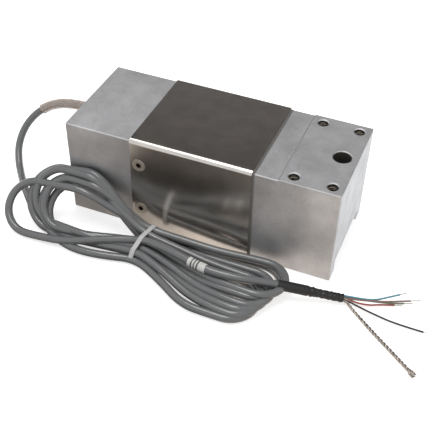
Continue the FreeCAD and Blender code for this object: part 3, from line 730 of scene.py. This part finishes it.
class LoadCellSizes(bpy.types.PropertyGroup):
    """Sizes of the flexible pieces and the threads."""
    cable_diameter: length("Cable diameter", "Outside diameter of the cable's jacket", 5.4, 1)
    tie_width: length("Tie width", "Width of the tie round the hank", 3.5, 1)
    tie_thickness: length("Tie thickness", "Thickness of the tie round the hank", 1.1, 0.2)
    core_diameter: length("Core diameter", "Outside diameter of one insulated core", 1.2, 0.5)
    braid_diameter: length("Braid diameter", "Outside diameter of the twisted shield braid", 2.4, 0.5)
    braid_strands: bpy.props.IntProperty(
        name="Braid strands", description="Number of bundles that the shield braid is twisted from",
        default=3, min=2, max=12)
    thread_pitch: length(
        "Thread pitch", "Distance from turn to turn of the thread in the bolt holes", 1.25, 0.3)


class LoadCellColours(bpy.types.PropertyGroup):
    """Colours of the body, the cable and its fittings."""
    beam: colour("Beam", "Colour of the milled aluminium", "#C1C2C4")
    sleeve: colour("Sleeve", "Colour of the polished cover sleeve", "#CBC7C2")
    jacket: colour("Jacket", "Colour of the cable's jacket", "#6E6F70")
    tie: colour("Tie", "Colour of the tie round the hank", "#CACBCA")
    marker: colour("Marker", "Colour of the marker tube", "#E0DFDB")
    shrink_tube: colour("Shrink tube", "Colour of the heat-shrink tube", "#0B0B0C")
    strain_relief: colour("Strain relief", "Colour of the translucent tube at the gland", "#DCCDC2")


# ---------------------------------------------------------------- operators

def refinish(finishes):
    """Gives CAD nodes their materials."""
    for node, material in finishes.items():
        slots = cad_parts[node].data.materials
        slots.clear()
        slots.append(material)


class LOADCELL_OT_metalwork(bpy.types.Operator):
    """Gives the beam, the sleeve, the screws, the gland and the seals their finishes"""
    bl_idname = "loadcell.metalwork"
    bl_label = "Metalwork"

    def execute(self, context):
        colours = context.scene.loadcell_colours
        rubber = moulded("black_nitrile_seal", linear("#6E6C69"), 0.5)
        refinish({
            "beam_body": milled_aluminium(colours.beam),
            "cover_sleeve": polished_stainless(colours.sleeve),
            "cover_screws": socket_screw(linear("#CFC9BE")),
            "cable_gland": turned_metal("nickel_plated_brass", linear("#C4C0B6"), 0.2, 0.8),
            "sleeve_seal_left": rubber,
            "sleeve_seal_right": rubber,
            "gland_seal": moulded("black_neoprene_seal", linear("#202021"), 0.55),
            "cable_potting": moulded("amber_epoxy_potting", linear("#6B4E25"), 0.2, grain_mm=3),
        })
        return {"FINISHED"}


class LOADCELL_OT_threads(bpy.types.Operator):
    """Cuts the threads' ridges in the eight bolt holes"""
    bl_idname = "loadcell.threads"
    bl_label = "Threads"

    def execute(self, context):
        sizes = context.scene.loadcell_sizes
        places = [(BOLTS_X + x * BOLTS_HALF_X, y * BOLTS_HALF_Y) for x in (-1, 1) for y in (-1, 1)]
        depth = TAPPED_DEPTH - THREAD_RUN_OUT
        points = [(x, y, TOP_OF_PAD - THREAD_LEAD_IN - depth) for x, y in places]
        points += [(-x, y, THREAD_LEAD_IN) for x, y in places]
        mesh = bpy.data.meshes.new("hole_bottoms")
        mesh.from_pydata([tuple(p) for p in metres(points)], [], [])
        # The thread's ridge is the beam's aluminium darkened: painted shade inside the bolt holes
        finish = turned_metal("shaded_tapped_aluminium_thread", linear("#8A8378"), 0.3, 0.6)
        threads = grown("bolt_hole_threads", mesh, thread_tree(), {
            "Hole Radius": (TAPPED_RADIUS - 0.02) * MM, "Depth": depth * MM, "Pitch": sizes.thread_pitch,
            "Ridge": THREAD_RIDGE * MM, "Finish": finish})
        dressed(threads, finish, "beam")
        return {"FINISHED"}


class LOADCELL_OT_inner_parts(bpy.types.Operator):
    """Gives the gauges, the board and the wiring inside the beam their finishes"""
    bl_idname = "loadcell.inner_parts"
    bl_label = "Inner parts"

    def execute(self, context):
        refinish({
            "strain_gauges": moulded("polyimide_gauge_film", linear("#B8762B"), 0.22, grain_mm=0.8),
            "gauge_coatings": moulded("white_silicone_coating", linear("#DCDCD6"), 0.45, 4, 0.2),
            "gauge_wires": moulded("enamelled_gauge_wire", linear("#9C3B2A"), 0.3, grain_mm=0.6),
            "terminal_board": moulded("green_solder_mask", linear("#2B6E3F"), 0.3, grain_mm=1),
            "board_standoffs": turned_metal("turned_brass", linear("#C9A24E"), 0.28, 0.5),
            "board_screws": turned_metal("zinc_plated_screw", linear("#BFC1C2"), 0.3, 0.5),
            "trim_resistors": moulded("thick_film_resistor", linear("#222224"), 0.4, grain_mm=0.5),
            "core_wires": moulded("inner_core_insulation", linear("#B43228"), 0.35),
        })
        return {"FINISHED"}


class LOADCELL_OT_strain_relief(bpy.types.Operator):
    """Slips the translucent tube over the cable where it leaves the gland"""
    bl_idname = "loadcell.strain_relief"
    bl_label = "Strain relief"

    def execute(self, context):
        line = resampled(centreline(metres(LEAD[:8]), 16), 0.0012)
        line = [p for p in line if RELIEF_SPAN[0] * MM < p.x < RELIEF_SPAN[1] * MM]
        total = run_length(line) / MM

        def radius(place, angle):
            return RELIEF_RADIUS + RELIEF_LIP * max(0.0, 1 - (total - place) / RELIEF_LIP_LENGTH)

        tube = open_tube_along("strain_relief_sleeve", line, radius, RELIEF_BORE)
        finish = clear_silicone(context.scene.loadcell_colours.strain_relief)
        dressed(tube, finish, "relief", "strain_relief")
        return {"FINISHED"}


def wrapped(slots, reach):
    """The outline, in (y, z), of a band pulled round strands that stand at the slots."""
    cloud = []
    for y, z in slots:
        for k in range(40):
            angle = 2 * math.pi * k / 40
            cloud.append((y * MM + reach * math.cos(angle), z * MM + reach * math.sin(angle)))
    cloud.sort()
    hull = []
    for sweep in (cloud, cloud[::-1]):
        side = []
        for p in sweep:
            while len(side) > 1 and ((side[-1][0] - side[-2][0]) * (p[1] - side[-2][1])
                                     - (side[-1][1] - side[-2][1]) * (p[0] - side[-2][0])) <= 0:
                side.pop()
            side.append(p)
        hull += side[:-1]
    line = resampled([Vector((0, *p)) for p in hull + hull[:1]], 0.0008)
    return [(p.y, p.z) for p in line[:-1]]


class LOADCELL_OT_tie(bpy.types.Operator):
    """Winds the white tie round the waist of the hank"""
    bl_idname = "loadcell.tie"
    bl_label = "Tie"

    def execute(self, context):
        sizes, colours = context.scene.loadcell_sizes, context.scene.loadcell_colours
        half_width, half_thick = sizes.tie_width / 2, sizes.tie_thickness / 2
        outline = wrapped(TIE_NEAR + TIE_FAR, sizes.cable_diameter / 2 + half_thick)
        rings = []
        for i, (y, z) in enumerate(outline):
            before, after = outline[i - 1], outline[(i + 1) % len(outline)]
            out = Vector((0, after[1] - before[1], before[0] - after[0])).normalized()
            lean = TIE_LEAN * (y - TIE_MIDDLE_Y * MM)
            centre = Vector((TIE_X * MM + lean, y, max(z, half_thick)))
            ring = []
            for k in range(16):
                angle = 2 * math.pi * k / 16
                wide = math.copysign(abs(math.cos(angle)) ** 0.5, math.cos(angle))
                across = Vector((half_width * wide, 0, 0))
                ring.append(centre + across + out * half_thick * math.sin(angle))
            rings.append(ring)
        tie = skin("hank_band", rings, closed=True)
        finish = moulded("white_polyethylene_tie", colours.tie, 0.38, 1.0, 0.06, worn=0.86)
        dressed(tie, finish, "tie", "hank_tie")
        return {"FINISHED"}


class LOADCELL_OT_marker(bpy.types.Operator):
    """Slips the marker tube over the tail"""
    bl_idname = "loadcell.marker"
    bl_label = "Marker tube"

    def execute(self, context):
        line = [p for p in resampled(centreline(metres(TAIL), 16), 0.0005)
                if MARKER_SPAN[0] * MM < p.x < MARKER_SPAN[1] * MM]
        marker = open_tube_along("marker_tube", line, lambda place, angle: MARKER_RADIUS, MARKER_BORE)
        dressed(marker, banded_marker(context.scene.loadcell_colours.marker), "marker", "marker_sleeve")
        return {"FINISHED"}


class LOADCELL_OT_shrink_tube(bpy.types.Operator):
    """Shrinks the black tube over the end of the jacket"""
    bl_idname = "loadcell.shrink_tube"
    bl_label = "Shrink tube"

    def execute(self, context):
        way = tail_way()
        start = Vector(TAIL[-1]) - way * SHRINK_OVERLAP
        total = SHRINK_OVERLAP + SHRINK_WIDE + SHRINK_TAPER + SHRINK_NARROW
        line = [(start + way * total * k / 220) * MM for k in range(221)]

        def radius(place, angle):
            step = min(max((place - SHRINK_WIDE) / SHRINK_STEP_LENGTH, 0.0), 1.0)
            lump = LUMP_RISE * math.exp(-((place - SHRINK_WIDE - LUMP_AFTER) / LUMP_LENGTH) ** 2)
            base = SHRINK_RADIUS - SHRINK_STEP * step + lump
            # Lengthwise draw lines, the wrinkles past the step, and the end pinched round the cores
            facets = 0.05 * math.sin(5 * angle + 0.15 * place)
            folds = 0.24 * step * math.sin(2.1 * place + 3 * angle) * math.sin(2 * angle + 0.5 * place)
            pinch = -0.35 * max(0.0, (place - total + 4) / 4) * abs(math.sin(angle))
            return base + facets + folds + pinch

        sleeve = tube_along("shrink_sleeve", line, radius, 48)
        dressed(sleeve, heat_shrink(context.scene.loadcell_colours.shrink_tube), "shrink",
                "shrink_tube_wide", "shrink_tube_narrow")
        return {"FINISHED"}


class LOADCELL_OT_cable(bpy.types.Operator):
    """Lays the cable: out of the gland, down to the floor, six tied turns and the tail"""
    bl_idname = "loadcell.cable"
    bl_label = "Cable"

    def execute(self, context):
        sizes, colours = context.scene.loadcell_sizes, context.scene.loadcell_colours
        route = cable_route()
        cable = nurbs("signal_cable", route, sizes.cable_diameter / 2)
        dressed(cable, pvc_jacket(colours.jacket), "cable", "cable_lead", "cable_hank", "cable_tail")
        run_length(centreline(route))
        return {"FINISHED"}


class LOADCELL_OT_cores(bpy.types.Operator):
    """Fans out the five cores with their tinned, twisted ends"""
    bl_idname = "loadcell.cores"
    bl_label = "Cores"

    def execute(self, context):
        sizes = context.scene.loadcell_sizes
        tin = tinned_copper("tinned_core_end", linear("#CFC8BD"))
        twist = strand_tree()
        for colour, (code, place, tip_length, route) in CORES.items():
            path = core_route(place, route)
            core = nurbs("core_" + colour, path, sizes.core_diameter / 2)
            node = "wire_" + colour
            dressed(core, moulded(colour + "_core_insulation", linear(code), 0.3), node, node)
            tip = grown("tinned_end_" + colour, line_mesh("tip_line", beyond(path, tip_length)), twist, {
                "Strands": 6, "Pitch": 5.0 * MM, "Lay Radius": 0.2 * MM, "Start Width": 1.0,
                "Strand Radius": 0.12 * MM, "Step": 0.3 * MM, "Finish": tin})
            dressed(tip, tin, "tip", "tip_" + colour)
            run_length(centreline(path))
        return {"FINISHED"}


class LOADCELL_OT_braid(bpy.types.Operator):
    """Pulls the shield braid to one side, twisted, its end flared"""
    bl_idname = "loadcell.braid"
    bl_label = "Shield braid"

    def execute(self, context):
        sizes = context.scene.loadcell_sizes
        path = core_route(BRAID_PLACE, BRAID)
        line = centreline(path, 24)
        finish = tinned_copper("tinned_copper_braid", linear("#B5ADA5"))
        twist = strand_tree()
        strand = sizes.braid_diameter * 0.21
        braid = grown("twisted_braid", line_mesh("braid_line", line), twist, {
            "Strands": sizes.braid_strands, "Pitch": 8.5 * MM,
            "Lay Radius": sizes.braid_diameter / 2 - strand, "Start Width": 0.55,
            "Strand Radius": strand, "Step": 0.3 * MM, "Finish": finish})
        dressed(braid, finish, "braid", "shield_braid")
        knot = grown("braid_knot", line_mesh("knot_line", beyond(path, KNOT_LENGTH)), twist, {
            "Strands": 2 * sizes.braid_strands, "Pitch": 9.0 * MM, "Lay Radius": 1.45 * MM,
            "Start Width": 0.45, "Strand Radius": 0.42 * MM, "Step": 0.3 * MM, "Finish": finish})
        dressed(knot, finish, "braid", "braid_end")
        return {"FINISHED"}


# ---------------------------------------------------------------- studio

def rectangle(half, y, z):
    """The corners of a card between two places in y or in z, facing up or forwards."""
    (y0, y1), (z0, z1) = (y if isinstance(y, tuple) else (y, y)), (z if isinstance(z, tuple) else (z, z))
    return [(-half, y0, z0), (half, y0, z0), (half, y1, z1), (-half, y1, z1)]


def soft_light(name, place, target, size, power):
    """A rectangular softbox that points at the target; power is in watts."""
    data = bpy.data.lights.new(name, "AREA")
    data.shape = "RECTANGLE"
    data.size, data.size_y = size
    data.energy = power
    light = linked(name, data)
    light.location = place
    light.rotation_euler = (Vector(target) - Vector(place)).to_track_quat("-Z", "Y").to_euler()


def stage_piece(name, corners):
    """A flat stage piece between four corners, at the origin, with an empty material."""
    mesh = bpy.data.meshes.new(name)
    mesh.from_pydata(corners, [], [(0, 1, 2, 3)])
    material = bpy.data.materials.new(name)
    material.use_nodes = True
    material.node_tree.nodes.clear()
    mesh.materials.append(material)
    obj = linked(name, mesh)
    return obj, material.node_tree


def reflected_only(card):
    """Leaves a card in the metal's reflections only: it doesn't show and lights nothing."""
    card.visible_camera = card.visible_diffuse = card.visible_shadow = card.visible_transmission = False


def seen_directly(tree):
    """1 where a camera, glossy or transmission ray looks, 0 for the light on the object."""
    rays = add(tree, "ShaderNodeLightPath")
    sight = add(tree, "ShaderNodeMath", {"operation": "MAXIMUM"},
                _0=rays.outputs["Is Camera Ray"], _1=rays.outputs["Is Glossy Ray"])
    return add(tree, "ShaderNodeMath", {"operation": "MAXIMUM"},
               _0=sight, _1=rays.outputs["Is Transmission Ray"])


def studio_floor():
    """Matt white paper that takes the object's shadow and is white where it is seen."""
    _, tree = stage_piece("studio_floor", rectangle(FLOOR_HALF, (-FLOOR_HALF, FLOOR_HALF), FLOOR_Z))
    paper = add(tree, "ShaderNodeBsdfPrincipled", {"Base Color": linear("#F2F2F2"), "Roughness": 0.9})
    lift = add(tree, "ShaderNodeMapRange", ranged(0.0, FLOOR_LIFT), Value=seen_directly(tree))
    tree.links.new(output(lift), paper.inputs["Emission Strength"])
    paper.inputs["Emission Color"].default_value = linear("#FFFFFF")
    add(tree, "ShaderNodeOutputMaterial", None, Surface=paper)


def back_card():
    """Backdrop card: grey at its foot, black at middle height and white at its head."""
    card, tree = stage_piece("back_card", rectangle(BACK_CARD_HALF, BACK_CARD_Y, BACK_CARD_Z))
    place = add(tree, "ShaderNodeTexCoord")
    height = add(tree, "ShaderNodeSeparateXYZ", None, Vector=place.outputs["Object"])
    foot, head = [add(tree, "ShaderNodeMapRange", ranged(*limits, smooth=True), Value=height.outputs["Z"])
                  for limits in (BACK_FOOT, BACK_HEAD)]
    both = add(tree, "ShaderNodeMath", {"operation": "ADD"}, _0=foot, _1=head)
    glow = add(tree, "ShaderNodeEmission", {"Color": linear("#FFF7F4")}, Strength=both)
    add(tree, "ShaderNodeOutputMaterial", None, Surface=glow)
    reflected_only(card)


def floor_card():
    """Grey card on the floor before the beam, with a black patch that the sleeve's front mirrors."""
    card, tree = stage_piece("floor_card", rectangle(FLOOR_CARD_HALF, FLOOR_CARD_Y, FLOOR_CARD_Z))
    coords = add(tree, "ShaderNodeTexCoord")
    place = add(tree, "ShaderNodeSeparateXYZ", None, Vector=coords.outputs["Object"])
    edges = [add(tree, "ShaderNodeMapRange", ranged(*limits, smooth=True), Value=place.outputs[axis])
             for axis, *limits in PATCH_EDGES]
    patch = edges[0]
    for edge in edges[1:]:
        patch = add(tree, "ShaderNodeMath", {"operation": "MULTIPLY"}, _0=patch, _1=edge)
    depth = add(tree, "ShaderNodeMapRange", ranged(CARD_NEAR, CARD_FAR, *CARD_FAR_EDGE, smooth=True),
                Value=place.outputs["Y"])
    right = add(tree, "ShaderNodeMapRange", ranged(0.0, 1.0, *CARD_RIGHT_EDGE, smooth=True),
                Value=place.outputs["X"])
    grey = add(tree, "ShaderNodeMix", {"data_type": "FLOAT", 3: CARD_RIGHT}, _0=right, _2=depth)
    level = add(tree, "ShaderNodeMix", {"data_type": "FLOAT", 3: CARD_PATCH}, _0=patch, _2=grey)
    glow = add(tree, "ShaderNodeEmission", {"Color": linear("#FFF3E8")}, Strength=level)
    add(tree, "ShaderNodeOutputMaterial", None, Surface=glow)
    reflected_only(card)


def studio_world(scene):
    """A white room, dimmed for the light that it throws on the object."""
    world = bpy.data.worlds.new("white_studio")
    scene.world = world
    world.use_nodes = True
    tree = world.node_tree
    tree.nodes.clear()
    strength = add(tree, "ShaderNodeMapRange", ranged(ROOM_LIGHT, 1.0),
                   Value=seen_directly(tree))
    white = add(tree, "ShaderNodeBackground", {"Color": linear("#FFFFFF")}, Strength=strength)
    add(tree, "ShaderNodeOutputWorld", None, Surface=white)


def studio_camera(scene):
    """The camera, in front of the object, to its right and above it."""
    data = bpy.data.cameras.new("camera")
    data.lens, data.sensor_width = CAMERA_LENS, CAMERA_SENSOR
    data.clip_start, data.clip_end = 0.01, 20
    camera = linked("camera", data)
    camera.matrix_world = Matrix([*zip(*CAMERA_AXES, CAMERA_PLACE), (0, 0, 0, 1)])
    scene.camera = camera


class LOADCELL_OT_stage(bpy.types.Operator):
    """Sets the floor, the soft lights, the cards and the camera"""
    bl_idname = "loadcell.stage"
    bl_label = "Studio"

    def execute(self, context):
        scene = context.scene
        scene.view_settings.view_transform = "Standard"
        studio_floor()
        studio_world(scene)
        for name, place, size, power in SOFTBOXES:
            soft_light(name, place, LIGHT_TARGET, size, power)
        back_card()
        floor_card()
        studio_camera(scene)
        return {"FINISHED"}


class LOADCELL_PT_panel(bpy.types.Panel):
    """Lists the sizes, the colours and the pieces"""
    bl_idname = "LOADCELL_PT_panel"
    bl_label = "Load cell"
    bl_space_type = "VIEW_3D"
    bl_region_type = "UI"
    bl_category = "Load cell"

    def draw(self, context):
        for group in (context.scene.loadcell_sizes, context.scene.loadcell_colours):
            for name in group.__annotations__:
                self.layout.prop(group, name)
        for operator in OPERATORS:
            self.layout.operator(operator.bl_idname)


OPERATORS = (
    LOADCELL_OT_stage, LOADCELL_OT_metalwork, LOADCELL_OT_threads, LOADCELL_OT_inner_parts,
    LOADCELL_OT_strain_relief, LOADCELL_OT_tie, LOADCELL_OT_marker, LOADCELL_OT_shrink_tube,
    LOADCELL_OT_cable, LOADCELL_OT_cores, LOADCELL_OT_braid,
)
CLASSES = (LoadCellSizes, LoadCellColours, LOADCELL_PT_panel) + OPERATORS


def register():
    for cls in CLASSES:
        bpy.utils.register_class(cls)
    bpy.types.Scene.loadcell_sizes = bpy.props.PointerProperty(type=LoadCellSizes)
    bpy.types.Scene.loadcell_colours = bpy.props.PointerProperty(type=LoadCellColours)


def unregister():
    del bpy.types.Scene.loadcell_colours
    del bpy.types.Scene.loadcell_sizes
    for cls in reversed(CLASSES):
        bpy.utils.unregister_class(cls)


def main():
    register()
    for operator in OPERATORS:
        getattr(bpy.ops.loadcell, operator.bl_idname.split(".")[1])()


if __name__ == "__main__":
    main()
